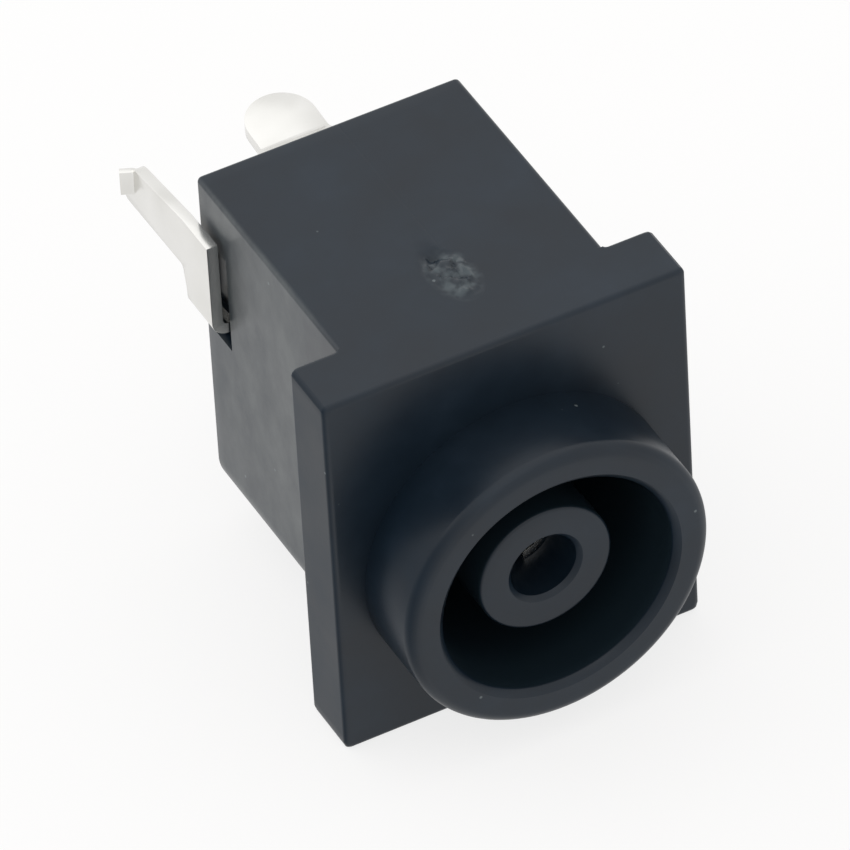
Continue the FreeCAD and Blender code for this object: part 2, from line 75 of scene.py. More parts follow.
def ring_quads(rings, around, first):
    """Faces between closed rings that follow each other, each with as many points, from point first on."""
    row = np.arange(rings - 1)[:, None] * around
    here = np.arange(around)[None, :]
    ahead = (here + 1) % around
    a = first + row + here
    b = first + row + ahead
    return np.stack([a, b, b + around, a + around], axis=-1).reshape(-1, 4)


def grid_lines(low, high, step, edges, fine):
    """Coordinates from low to high: an even spacing, finer stretches and a close pair round each edge.

    The pair stands WALL_HALF to each side of the edge, so a pocket's wall is steep but not upright.
    Lines nearer to an edge than three times that give way to the pair."""
    edges = np.asarray(edges, float)
    even = np.linspace(low, high, int(math.ceil((high - low) / step)) + 1)
    loose = np.concatenate([even] + [np.arange(a, b, spacing) for a, b, spacing in fine])
    gap = np.abs(loose[:, None] - edges[None, :]).min(axis=1)
    loose = loose[gap > 3 * WALL_HALF]
    keep = np.concatenate([loose, edges - WALL_HALF, edges + WALL_HALF, [low, high]])
    keep = np.unique(np.round(keep, 5))
    return keep[(keep >= low) & (keep <= high)]


# %% [markdown]
# The housing is one injection moulding. It could be cut from blocks with booleans, but those leave
# slivers where faces nearly meet, so it is one closed surface. Its rear face is a grid whose depth is a
# function of X and Z. From the edge of that grid, rings of points run forward along the body, out
# round the flange, in to the nose, down the bore, up the centre post and down the post's hole.

# %% Sizes of the housing
BODY_HALF, TOP, BODY_BOTTOM, REAR = 3.85, 6.65, -4.25, 9.7
BOTTOM_STEP, STEP_X, STEP_FADE = 0.15, 1.4, 1.2
LOWEST = BODY_BOTTOM - BOTTOM_STEP
FLANGE_HALF, FLANGE_BOTTOM, FLANGE_DEPTH = 5.25, -5.25, 1.85
BODY_EDGE, FLANGE_EDGE = 0.13, 0.13
FLANGE_CORNER, TOP_CORNER, LEAST_CORNER = 0.18, 0.13, 0.02
TAB_SIDE_ROUND, FAR_SIDE_ROUND = 1.15, 1.0
print("body", 2 * BODY_HALF, "mm wide and", REAR - FLANGE_DEPTH, "mm behind the flange")

# %% [markdown]
# Seen from behind, the body is a rectangle with nearly sharp corners on top and large round ones below,
# and its bottom is a little lower on one side. The flange is a wider rectangle, level with the body's
# top. Both outlines are functions of one square ring of points, so the rings of the body and those of
# the flange match point by point and no seam has to be closed between them.

# %% Outline of the body and of the flange
TOP_EDGE_END, CORNER_POINT, CORNER_END = 1.4, 1.65, 1.9
SPREAD_FROM = STEP_X + 0.1
FOOT_CORNER = 0.4


def squeeze_corner(x, z, corner_x, corner_z, radius):
    """Bends the square corner of a grid into a round one.

    Inside the corner's square, with a and b running from 0 to 1 towards its two sides, a point goes to
    a * sqrt(1 - b^2 / 2), b * sqrt(1 - a^2 / 2), which carries a square onto a disc."""
    out_x, out_z = math.copysign(1, corner_x), math.copysign(1, corner_z)
    a = ((x - corner_x) * out_x + radius) / radius
    b = ((z - corner_z) * out_z + radius) / radius
    inside = (a > 0) & (b > 0)
    a = np.clip(a, 0, 1)
    b = np.clip(b, 0, 1)
    new_x = corner_x + out_x * (a * np.sqrt(1 - b * b / 2) - 1) * radius
    new_z = corner_z + out_z * (b * np.sqrt(1 - a * a / 2) - 1) * radius
    return np.where(inside, new_x, x), np.where(inside, new_z, z)


def body_outline(x, z, inset):
    """Body section, pulled in from all sides by inset, its four corners rounded.

    On the tab side the bottom is lifted by BOTTOM_STEP, which fades to nothing over STEP_FADE."""
    half, top, bottom = BODY_HALF - inset, TOP - inset, LOWEST + inset
    middle = (TOP + LOWEST) / 2
    sx = x * (BODY_HALF - inset) / BODY_HALF
    sz = middle + (z - middle) * ((TOP - LOWEST) / 2 - inset) / ((TOP - LOWEST) / 2)
    sz = sz + np.clip((1 - (sz - bottom) / STEP_FADE), 0, 1) * BOTTOM_STEP * (sx < STEP_X)
    sx, sz = squeeze_corner(sx, sz, half, top, TOP_CORNER - inset + LEAST_CORNER)
    sx, sz = squeeze_corner(sx, sz, -half, top, TOP_CORNER - inset + LEAST_CORNER)
    sx, sz = squeeze_corner(sx, sz, half, bottom, FAR_SIDE_ROUND - inset)
    sx, sz = squeeze_corner(sx, sz, -half, bottom + BOTTOM_STEP, TAB_SIDE_ROUND - inset)
    return sx, sz


def flange_outline(x, z, inset):
    """Flange section, for the same ring of grid points that the body's outline uses.

    The body's top side keeps its X. Going down its flanks, the points as far as TOP_EDGE_END open out
    along the flange's top edge, those as far as CORNER_END turn the corner and the rest run down the
    flange's side. The body's bottom side spreads out to the flange's bottom from SPREAD_FROM on."""
    side = np.sign(x)
    on_flank = np.isclose(np.abs(x), BODY_HALF) & (z < TOP - 1e-6) & (z > LOWEST + 1e-6)
    on_bottom = np.isclose(z, LOWEST)
    inner = FLANGE_HALF - FLANGE_CORNER
    turns = [0, TOP_EDGE_END, CORNER_POINT, CORNER_END]
    reach = np.interp(TOP - z, turns, [BODY_HALF, inner, FLANGE_HALF, FLANGE_HALF])
    drop = np.interp(TOP - z, turns + [TOP - LOWEST], [0, 0, 0, FLANGE_CORNER, TOP - FLANGE_BOTTOM])
    foot = [0, SPREAD_FROM, BODY_HALF - FOOT_CORNER, BODY_HALF]
    bottom_x = np.interp(np.abs(x), foot, [0, SPREAD_FROM, inner, FLANGE_HALF])
    fx = np.where(on_flank, side * reach, np.where(on_bottom, side * bottom_x, x))
    fz = np.where(on_flank, TOP - drop, np.where(on_bottom, FLANGE_BOTTOM, TOP))
    for corner_x in (FLANGE_HALF, -FLANGE_HALF):
        for corner_z in (TOP, FLANGE_BOTTOM):
            fx, fz = squeeze_corner(fx, fz, corner_x, corner_z, FLANGE_CORNER)
    centre_z, half_height = (TOP + FLANGE_BOTTOM) / 2, (TOP - FLANGE_BOTTOM) / 2
    fx = fx * (FLANGE_HALF - inset) / FLANGE_HALF
    fz = centre_z + (fz - centre_z) * (half_height - inset) / half_height
    return fx, fz


print("flange", 2 * FLANGE_HALF, "by", TOP - FLANGE_BOTTOM, "mm")

# %% [markdown]
# The rear face holds the slots and pockets that the contacts are pushed into, and the round marks of
# the pins that pushed the moulding out of its mould. Each pocket is a rectangle with a depth, and where
# several overlap the deepest counts. A list of them is easy to read and to change.

# %% Depth of the rear face

# Low X, high X, low Z, high Z, depth
POCKETS = {
    "upper_cavity": (-2.84, 2.69, 2.2, 5.6, 1.7),
    "cavity_flare": (2.6, 2.95, 2.2, 3.6, 1.7),
    "plate_slot": (-3.6, 3.45, 5.56, 6.05, 1.9),
    "nub_relief": (0.87, 1.62, 5.9, 6.22, 0.4),
    "switch_slot": (-3.85, 3.39, 2.29, 2.69, 1.45),
    "under_plate": (-3.85, 3.04, 1.91, 2.4, 0.8),
    "under_plate_deep": (-3.85, -2.4, 1.58, 2.2, 0.8),
    "curl_pocket": (1.02, 2.95, -0.55, 0.44, 0.45),
    "tail_slot": (-0.94, 1.06, 0.14, 0.44, 2.55),
    "lower_pocket": (-3.1, 3.1, -3.6, -1.5, 1.6),
    "mark": (-3.27, -2.97, 0.22, 0.98, 0.4),
    "notch_over_tab": (-1.7, 1.2, 5.95, 6.5, 0.28),
    "lower_step": (0.44, 3.63, -1.5, 1.55, 0.1),
    "ledge": (-3.85, -2.84, 2.69, 4.0, 0.1),
}
EJECTORS = ((3.05, -0.85), (-0.07, 1.35), (-3.2, -0.7))
EJECTOR_R, EJECTOR_DEPTH, EJECTOR_SLOPE = 0.5, 0.07, 0.04
SHALLOW = 0.3


def rear_depth(x, z):
    """How far the rear face lies in front of the body's end, from the deepest pocket at each point.

    An ejector mark adds its depth wherever the face is shallow, and slopes down over its rim."""
    depth = np.zeros_like(x)
    for x_low, x_high, z_low, z_high, deep in POCKETS.values():
        inside = (x > x_low) & (x < x_high) & (z > z_low) & (z < z_high)
        depth = np.where(inside, np.maximum(depth, deep), depth)
    for centre_x, centre_z in EJECTORS:
        to_rim = EJECTOR_R + EJECTOR_SLOPE - np.hypot(x - centre_x, z - centre_z)
        depth = depth + EJECTOR_DEPTH * np.clip(to_rim / (2 * EJECTOR_SLOPE), 0, 1) * (depth < SHALLOW)
    return depth


print(len(POCKETS), "pockets and steps,", len(EJECTORS), "ejector marks")

# %% [markdown]
# A real moulding is never perfectly flat. The gate, where the plastic was fed in and torn off, leaves a
# low rough scar on the top, and the two sides of the flow meet in a hair-fine line behind it. They
# could be painted as bump, but light that grazes the top shows their height, so they are in the mesh.

# %% Small forms on the outer walls
GATE = (0.04, 2.98)
SCAR_R, SCAR_HEIGHT, LUMP_HEIGHT = 0.54, 0.03, 0.035
MOAT_DEPTH, MOAT_OUT, MOAT_WIDTH = 0.02, 0.03, 0.05
HOLLOW_DEPTH, HOLLOW_R, HOLLOW_ANGLE = 0.2, 0.42, 1.75
SEAM_X, SEAM_WIDTH, SEAM_DEPTH, SEAM_START, SEAM_FADE = 0.26, 0.022, 0.007, 3.6, 0.8
NOTCH_FRONT, NOTCH_LOW, NOTCH_HIGH, NOTCH_DEPTH = 8.25, 1.7, 4.8, 0.3


def scar(x, y):
    """Height of the gate scar: a low dome with lumps, inside a rim that wavers with the angle.

    The dome is 1 - (r / rim)^6, where r is the distance from the gate, measured shorter along Y. The
    lumps are sums of sine waves along bent axes u and v. A narrow moat, exp(-d^2), runs round the rim,
    and a deeper crescent-shaped hollow lies at one angle behind the gate."""
    dx, dy = x - GATE[0], y - GATE[1]
    r = np.hypot(dx, dy * 0.54 + dx * 0.15)
    angle = np.arctan2(dy, dx)
    rim = SCAR_R + 0.04 * np.sin(3 * angle + 0.6) + 0.03 * np.sin(7 * angle + 2.0)
    dome = np.clip(1 - (r / rim) ** 6, 0, 1)
    u = dx + 0.13 * np.sin(6.7 * dy + 0.7) + 0.05 * np.sin(15 * dy - 9 * dx)
    v = dy + 0.14 * np.sin(5.9 * dx + 2.2) + 0.05 * np.sin(13 * dx + 8 * dy)
    lumps = np.sin(9.3 * u + 1.3) * np.sin(6.1 * v - 0.4) + 0.7 * np.sin(15 * u - 7 * v + 0.9)
    lumps = lumps + 0.5 * np.sin(21 * u + 13 * v + 2.1)
    moat = np.exp(-(((r - rim - MOAT_OUT) / MOAT_WIDTH) ** 2))
    hollow = np.exp(-(((r - HOLLOW_R) / 0.12) ** 2)) * np.exp(-(((angle - HOLLOW_ANGLE) / 0.4) ** 2))
    return dome * (SCAR_HEIGHT + LUMP_HEIGHT * lumps) - MOAT_DEPTH * moat - HOLLOW_DEPTH * hollow


def shape_walls(points):
    """Lifts the top by the scar, sinks the flow line into it, and sets back part of the tab side's wall.

    The line's section is exp(-(x / width)^2), and it fades in over SEAM_FADE behind SEAM_START. The
    notch moves the wall's points inwards by NOTCH_DEPTH, behind NOTCH_FRONT and between two heights."""
    x, y, z = points.T
    top = (z > TOP - 1e-3) & (y > FLANGE_DEPTH + 0.1)
    line = np.exp(-(((x - SEAM_X) / SEAM_WIDTH) ** 2)) * np.clip((y - SEAM_START) / SEAM_FADE, 0, 1)
    z = z + top * (scar(x, y) - SEAM_DEPTH * line)
    notch = (x < -BODY_HALF + 0.02) & (y > NOTCH_FRONT) & (z > NOTCH_LOW) & (z < NOTCH_HIGH)
    x = np.where(notch, x + NOTCH_DEPTH, x)
    return np.stack([x, y, z], axis=1)


print("scar from", round(GATE[1] - 1.05, 2), "to", round(GATE[1] + 1.05, 2), "mm behind the flange's face")

# %% [markdown]
# The nose, the bore and the post are round, as a core pin leaves them. A turned shape is usually a
# profile spun round an axis. Here the profile gives each ring its radius and its place along Y, and
# the ring keeps the number and the angles of the flange's points, so it joins on to them.

# %% Profile of the nose, the bore and the post
NOSE_R, NOSE_LENGTH, RIM_ROUND = 4.4, 2.45, 0.35
MOUTH_R, MOUTH_EDGE, MOUTH_FUNNEL = 3.5, 0.04, 0.2
BORE_R, BORE_FLOOR = 3.35, 7.3
POST_R, POST_FACE, POST_ROUND = 1.93, -1.62, 0.1
HOLE_R, HOLE_FUNNEL, HOLE_FLOOR = 0.96, 0.13, 7.1
FOOT_RING, RIM_RING, FLOOR_RING, FACE_RING = NOSE_R + 0.4, 3.9, 2.6, 1.5


def quarter(count):
    """Angles from 0 to 90 degrees, without the two ends."""
    return np.linspace(0, math.pi / 2, count + 2)[1:-1]


def circle_profile():
    """Radius and Y of each ring, from the nose's foot to the bottom of the post's hole.

    A rounded edge is a quarter circle: r - R (1 - cos t), y + R (1 - sin t)."""
    front = -NOSE_LENGTH
    profile = [(FOOT_RING, 0.0)]
    profile += [(NOSE_R, y) for y in np.linspace(0.0, front + RIM_ROUND, 5)]
    for t in quarter(9):
        radius = NOSE_R - RIM_ROUND * (1 - math.cos(t))
        profile.append((radius, front + RIM_ROUND * (1 - math.sin(t))))
    profile += [(NOSE_R - RIM_ROUND, front), (RIM_RING, front), (MOUTH_R + MOUTH_EDGE, front)]
    profile += [(MOUTH_R, front + 0.03), (BORE_R + 0.02, front + 0.15), (BORE_R, front + MOUTH_FUNNEL)]
    profile += [(BORE_R, y) for y in np.linspace(front + 0.5, BORE_FLOOR, 6)]
    profile += [(FLOOR_RING, BORE_FLOOR), (POST_R, BORE_FLOOR)]
    profile += [(POST_R, y) for y in np.linspace(BORE_FLOOR - 0.5, POST_FACE + POST_ROUND, 6)]
    for t in quarter(4):
        radius = POST_R - POST_ROUND * (1 - math.cos(t))
        profile.append((radius, POST_FACE + POST_ROUND * (1 - math.sin(t))))
    profile += [(POST_R - POST_ROUND, POST_FACE), (FACE_RING, POST_FACE)]
    profile += [(HOLE_R + HOLE_FUNNEL, POST_FACE), (HOLE_R + 0.1, POST_FACE + 0.02)]
    profile += [(HOLE_R, POST_FACE + HOLE_FUNNEL)]
    profile += [(HOLE_R, y) for y in np.linspace(POST_FACE + 0.4, HOLE_FLOOR, 5)]
    profile += [(HOLE_R / 2, HOLE_FLOOR), (HOLE_R / 20, HOLE_FLOOR)]
    return profile


print(len(circle_profile()), "rings from the nose's foot to the bottom of the hole")

# %% [markdown]
# The rings of the body and of the flange turn each corner in a few small steps, as a moulding's edges
# are slightly round. A ring close to each side of a rounded edge keeps the flat faces flat: without it
# the smooth shading would bleed from the edge across the whole face.

# %% Rings of the body and of the flange
BODY_STEP, SCAR_REACH, SCAR_STEP = 0.4, 1.05, 0.07
FLAT_MARGIN = 0.04
CLEAR_RUN = 0.15
REAR_RING, EDGE_RING = 0.003, 0.004


def ring(x, y, z):
    """One ring of points, from its X and Z and from one Y or a Y for each point."""
    return np.stack([x, np.broadcast_to(y, x.shape), z], axis=-1)


def body_rings(loop_x, loop_z, opening):
    """Rings from the rear face's edge forward to the flange: round the edge first, then straight.

    Opening is how far a slot cuts the rim back at each point. No ring stands behind it there."""
    rings = []
    for t in quarter(3):
        x, z = body_outline(loop_x, loop_z, BODY_EDGE * (1 - math.sin(t)))
        rings.append(ring(x, REAR - np.maximum(opening, BODY_EDGE * (1 - math.cos(t))), z))
    x, z = body_outline(loop_x, loop_z, 0.0)
    rings.append(ring(x, REAR - np.maximum(opening, BODY_EDGE), z))
    round_gate = (GATE[1] - SCAR_REACH, GATE[1] + SCAR_REACH, SCAR_STEP)
    ys = grid_lines(FLANGE_DEPTH, REAR - BODY_EDGE - 0.02, BODY_STEP, [NOTCH_FRONT], [round_gate])
    return rings + [ring(x, np.minimum(y, REAR - opening), z) for y in ys[::-1]]


def flange_rings(loop_x, loop_z):
    """Rings out over the flange's rear face, round its edge, along its side and in to its front face.

    An edge moves each point from the full outline towards a smaller one by a share: 1 - sin t at the
    rear and 1 - cos t at the front. Level with the body's top, where there is no rear edge to see, the
    share at the rear falls to nothing over CLEAR_RUN."""
    x, z = flange_outline(loop_x, loop_z, 0.0)
    small_x, small_z = flange_outline(loop_x, loop_z, FLANGE_EDGE)
    flat_x, flat_z = flange_outline(loop_x, loop_z, FLANGE_EDGE + FLAT_MARGIN)
    clear = np.clip((np.abs(x) - BODY_HALF) / CLEAR_RUN, 0, 1)
    clear = np.where(z > TOP - 1e-4, clear, 1.0)
    rings = [ring(x + (flat_x - x) * clear, FLANGE_DEPTH - REAR_RING, z + (flat_z - z) * clear)]
    for t in [0.0, *quarter(4), math.pi / 2]:
        share = clear * (1 - math.sin(t))
        y = FLANGE_DEPTH - EDGE_RING - FLANGE_EDGE * (1 - math.cos(t))
        rings.append(ring(x + (small_x - x) * share, y, z + (small_z - z) * share))
    side = np.linspace(FLANGE_DEPTH - FLANGE_EDGE - FLAT_MARGIN, FLANGE_EDGE + FLAT_MARGIN, 4)
    rings += [ring(x, y, z) for y in [*side, FLANGE_EDGE]]
    for t in [*quarter(4), math.pi / 2]:
        share = 1 - math.cos(t)
        y = FLANGE_EDGE * (1 - math.sin(t))
        rings.append(ring(x + (small_x - x) * share, y, z + (small_z - z) * share))
    rings.append(ring(flat_x, 0.0, flat_z))
    return rings


def turned_rings(flange_x, flange_z):
    """The round rings, each point at the angle of its own point on the flange: r cos a, y, r sin a."""
    angle = np.arctan2(flange_z, flange_x)
    return [ring(radius * np.cos(angle), y, radius * np.sin(angle)) for radius, y in circle_profile()]


print("edges rounded by", BODY_EDGE, "and", FLANGE_EDGE, "mm")

# %% [markdown]
# Now the pieces of the surface come together: the grid of the rear face, the rings that go on from its
# edge, and a fan that closes the bottom of the hole. The grid's lines are closer where a small form
# needs them, such as the flow line, the ejector marks and the rounded corners.

# %% Build the housing
GRID_STEP, CORNER_STEP, MARK_STEP = 0.17, 0.045, 0.08
CLOSER_X = [
    (-BODY_HALF - 0.2, -BODY_HALF + 0.2, CORNER_STEP),
    (BODY_HALF - 0.2, BODY_HALF + 0.2, CORNER_STEP),
    (-0.8, 0.86, 0.06),
    (SEAM_X - 0.06, SEAM_X + 0.07, 0.02),
    (2.5, 3.6, MARK_STEP),
    (-3.72, -2.65, MARK_STEP),
]
CLOSER_Z = [(TOP - 0.25, TOP, CORNER_STEP), (-1.4, -0.15, MARK_STEP), (0.82, 1.9, MARK_STEP)]


def rear_grid():
    """X and Z of the rear face's points, with a close pair of lines at each edge of a pocket."""
    x_edges = {v for box in POCKETS.values() for v in box[:2] if abs(v) < BODY_HALF} | {STEP_X}
    z_edges = {v for box in POCKETS.values() for v in box[2:4]} | {NOTCH_LOW, NOTCH_HIGH}
    xs = grid_lines(-BODY_HALF, BODY_HALF, GRID_STEP, sorted(x_edges), CLOSER_X)
    zs = grid_lines(LOWEST, TOP, GRID_STEP, sorted(z_edges), CLOSER_Z)
    return np.meshgrid(xs, zs, indexing="ij")


def make_housing():
    """The whole moulding as one closed surface: the grid, the rings round it and the closing fan."""
    grid_x, grid_z = rear_grid()
    face_x, face_z = body_outline(grid_x, grid_z, BODY_EDGE)
    rear = np.stack([face_x, REAR - rear_depth(grid_x, grid_z), face_z], axis=-1).reshape(-1, 3)
    index = np.arange(grid_x.size).reshape(grid_x.shape)
    cell = [index[:-1, :-1], index[:-1, 1:], index[1:, 1:], index[1:, :-1]]
    rear_quads = np.stack(cell, axis=-1).reshape(-1, 4)

    # The grid's edge, once round, and the rings that start from it
    loop = np.concatenate([index[:-1, 0], index[-1, :-1], index[:0:-1, -1], index[0, :0:-1]])
    loop_x, loop_z = grid_x.reshape(-1)[loop], grid_z.reshape(-1)[loop]
    rings = body_rings(loop_x, loop_z, REAR - rear[loop, 1])
    rings += flange_rings(loop_x, loop_z)
    rings += turned_rings(*flange_outline(loop_x, loop_z, 0.0))

    # Faces: rear edge to first ring, ring to ring, and last ring to the middle of the hole's bottom
    around, first = len(loop), len(rear)
    last = first + (len(rings) - 1) * around
    points = np.concatenate([rear, *rings, [[0, HOLE_FLOOR, 0]]])
    here = np.arange(around)
    ahead = (here + 1) % around
    seam = np.stack([loop, np.roll(loop, -1), first + ahead, first + here], axis=-1)
    walls = ring_quads(len(rings), around, first)
    fan = np.stack([last + here, last + ahead, np.full(around, len(points) - 1)], axis=-1)
    quads = np.concatenate([rear_quads, seam, walls])
    return piece_from_arrays("housing_moulding", shape_walls(points), quads, fan)


housing = make_housing()
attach(housing, "root")
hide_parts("housing")

# %% [markdown]
# The contacts are stamped from sheet and folded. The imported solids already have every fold, so their
# meshes are copied and not drawn again. A stamped edge is never knife sharp, so each copy is welded
# into flat faces and its edges are bevelled by a few hundredths of a millimetre, which gives them the
# thin bright line that real sheet edges show.

# %% Soften the contacts
WELD_GAP, FLAT_ANGLE, BEVEL_ANGLE, SHEET_CRISP_ANGLE = 0.002, 2, 40, 35


def softened_copy(node, name, width):
    """Copy of a CAD node with its loose triangles welded and its edges bevelled."""
    piece = bpy.data.objects.new(name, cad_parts[node].data.copy())
    bpy.context.scene.collection.objects.link(piece)
    piece.data.materials.clear()
    weld = piece.modifiers.new("weld", "WELD")
    weld.merge_threshold = WELD_GAP * MM
    flat = piece.modifiers.new("flat faces", "DECIMATE")
    flat.decimate_type = "DISSOLVE"
    flat.angle_limit = math.radians(FLAT_ANGLE)
    bevel = piece.modifiers.new("soft edges", "BEVEL")
    bevel.width = width * MM
    bevel.segments = 3
    bevel.limit_method = "ANGLE"
    bevel.angle_limit = math.radians(BEVEL_ANGLE)
    bevel.harden_normals = False
    baked = bpy.data.meshes.new_from_object(piece.evaluated_get(bpy.context.evaluated_depsgraph_get()))
    piece.modifiers.clear()
    piece.data = baked
    piece.data.name = name
    baked.shade_smooth()
    baked.set_sharp_from_angle(angle=math.radians(SHEET_CRISP_ANGLE))
    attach(piece, "root")
    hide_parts(node)
    print(name, len(baked.vertices), "vertices")
    return piece


contacts = [
    softened_copy("sleeve_contact", "sleeve_contact_sheet", 0.035),
    softened_copy("switch_contact", "switch_contact_sheet", 0.03),
    softened_copy("centre_contact", "centre_contact_sheet", 0.02),
]

# %% [markdown]
# Materials are built from nodes. One helper turns a written colour into the linear one that the shader
# takes, and one adds a node together with its settings and links. Patterns read Object coordinates,
# which are metres here, so a pattern's scale is one over its real size.

# %% Helpers for materials
FIRST_NUMBER, SECOND_NUMBER, NUMBER_RESULT = 2, 3, 0
FIRST_COLOUR, SECOND_COLOUR, COLOUR_RESULT = 6, 7, 2


def linear(code):
    """Linear colour of an sRGB hex value: each part c becomes ((c + 0.055) / 1.055) ^ 2.4."""
    parts = [int(code[i:i + 2], 16) / 255 for i in (1, 3, 5)]
    return tuple(c / 12.92 if c < 0.04045 else ((c + 0.055) / 1.055) ** 2.4 for c in parts) + (1.0,)


def add(tree, kind, inputs=None, stops=(), **settings):
    """Adds a node of a kind. Its inputs are numbers, colours or the sockets that feed them.

    The stops of a colour ramp are pairs: a place from 0 to 1, and a hex colour or a grey level."""
    made = tree.nodes.new(kind)
    for key, value in settings.items():
        setattr(made, key, value)
    for key, value in (inputs or {}).items():
        if isinstance(value, bpy.types.NodeSocket):
            tree.links.new(value, made.inputs[key])
        else:
            made.inputs[key].default_value = value
    if stops:
        elements = made.color_ramp.elements
        while len(elements) < len(stops):
            elements.new(0.5)
        for element, (spot, value) in zip(elements, stops):
            element.position = spot
            element.color = linear(value) if isinstance(value, str) else (value, value, value, 1)
    return made


def new_material(name):
    """An empty material with its shader and output joined."""
    material = bpy.data.materials.new(name)
    material.use_nodes = True
    tree = material.node_tree
    tree.nodes.clear()
    shader = add(tree, "ShaderNodeBsdfPrincipled")
    add(tree, "ShaderNodeOutputMaterial", {"Surface": shader.outputs["BSDF"]})
    return material, tree, shader


print("white", linear("#ffffff"), "mid grey", linear("#808080"))

# %% [markdown]
# The housing's plastic has places of its own: the tab-side flank, which is paler partly where it was
# handled and partly as painted light on the lit side, with painted shade towards the flange and the rear
# end; the torn plastic of the gate scar; and the space round the post, with painted shade and weaker
# reflections. A place could be painted on a texture. Here each is a share from 0 to 1, worked out from
# where the point lies, so it stays sharp at any distance and needs no picture.

# %% Places on the housing
# The flank's paler tone is partly handling marks and partly painted light. It grows over the first stretch
# behind the flange and falls again near the rear end, which is painted shade at both ends.
HAZE_AND_LIGHT_START, HAZE_AND_LIGHT_FULL, HAZE_AND_LIGHT_FADES, HAZE_AND_LIGHT_LEAST = 1.8, 4.6, 8.5, 9.6
HAZE_AND_LIGHT_PATCH_SIZE, TEAR_SIZE = 1.5, 0.3
HOLLOW_NEAR, HOLLOW_FAR = 0.16, 0.3


def haze_and_painted_light_share(tree, place, axes):
    """Share of haze and painted light: the tab-side flank, times its middle part, times cloudy patches. The
    haze is partly handling marks and partly painted light on the lit side, and its fall towards the flange
    and the rear end is painted shade.
    """
    flank = add(tree, "ShaderNodeMapRange", {
        "Value": axes.outputs["X"], "From Min": (0.15 - BODY_HALF) * MM, "From Max": -BODY_HALF * MM,
    })
    # Towards the flange the share falls to nothing, as painted shade.
    body = add(tree, "ShaderNodeMapRange", {
        "Value": axes.outputs["Y"], "From Min": HAZE_AND_LIGHT_START * MM, "From Max": HAZE_AND_LIGHT_FULL * MM,
    })
    # Near the rear end the share falls to 0.4, as painted shade.
    rear = add(tree, "ShaderNodeMapRange", {
        "Value": axes.outputs["Y"], "From Min": HAZE_AND_LIGHT_FADES * MM, "From Max": HAZE_AND_LIGHT_LEAST * MM,
        "To Min": 1.0, "To Max": 0.4,
    })
    stretch = add(tree, "ShaderNodeMapping", {
        "Vector": place, "Scale": (1.0, 1.0, 0.6), "Rotation": (0.6, 0.0, 0.0),
    })
    haze_and_light_noise = add(tree, "ShaderNodeTexNoise", {
        "Vector": stretch.outputs[0], "Scale": 1 / (HAZE_AND_LIGHT_PATCH_SIZE * MM), "Detail": 6.0, "Roughness": 0.7,
    })
    patch = add(tree, "ShaderNodeValToRGB", {"Fac": haze_and_light_noise.outputs["Fac"]}, [(0.36, 0.3), (0.64, 1.0)])
    where = add(tree, "ShaderNodeMath", {0: flank.outputs[0], 1: body.outputs[0]}, operation="MULTIPLY")
    away = add(tree, "ShaderNodeMath", {0: where.outputs[0], 1: rear.outputs[0]}, operation="MULTIPLY")
    haze_and_painted_light = add(tree, "ShaderNodeMath", {
        0: away.outputs[0], 1: patch.outputs["Color"],
    }, operation="MULTIPLY")
    return haze_and_painted_light.outputs[0]


def torn_share(tree, place):
    """Share of torn plastic: an oval patch round the gate with frayed tones, and none in its hollow."""
    gate = (GATE[0] * MM, (GATE[1] - 0.1) * MM, TOP * MM)
    hollow = ((GATE[0] - 0.14) * MM, (GATE[1] + 0.78) * MM, TOP * MM)
    from_gate = add(tree, "ShaderNodeVectorMath", {0: place, 1: gate}, operation="SUBTRACT")
    squeezed = add(tree, "ShaderNodeVectorMath", {
        0: from_gate.outputs[0], 1: (1.3, 0.8, 1.0),
    }, operation="MULTIPLY")
    offset = add(tree, "ShaderNodeVectorMath", {0: squeezed.outputs[0]}, operation="LENGTH")
    in_mm = add(tree, "ShaderNodeMath", {0: offset.outputs["Value"], 1: 1000.0}, operation="MULTIPLY")
    near = add(tree, "ShaderNodeValToRGB", {"Fac": in_mm.outputs[0]}, [(0.6, 1.0), (0.95, 0.0)])
    torn = add(tree, "ShaderNodeTexNoise", {"Vector": place, "Scale": 1 / (TEAR_SIZE * MM), "Detail": 1.5})
    tears = add(tree, "ShaderNodeValToRGB", {"Fac": torn.outputs["Fac"]}, [(0.44, 0.15), (0.62, 1.0)])
    frayed = add(tree, "ShaderNodeMath", {
        0: near.outputs["Color"], 1: tears.outputs["Color"],
    }, operation="MULTIPLY")
    to_hollow = add(tree, "ShaderNodeVectorMath", {0: place, 1: hollow}, operation="DISTANCE")
    beside = add(tree, "ShaderNodeMapRange", {
        "Value": to_hollow.outputs["Value"], "From Min": HOLLOW_NEAR * MM, "From Max": HOLLOW_FAR * MM,
    })
    pale = add(tree, "ShaderNodeMath", {0: frayed.outputs[0], 1: beside.outputs[0]}, operation="MULTIPLY")
    return pale.outputs[0]


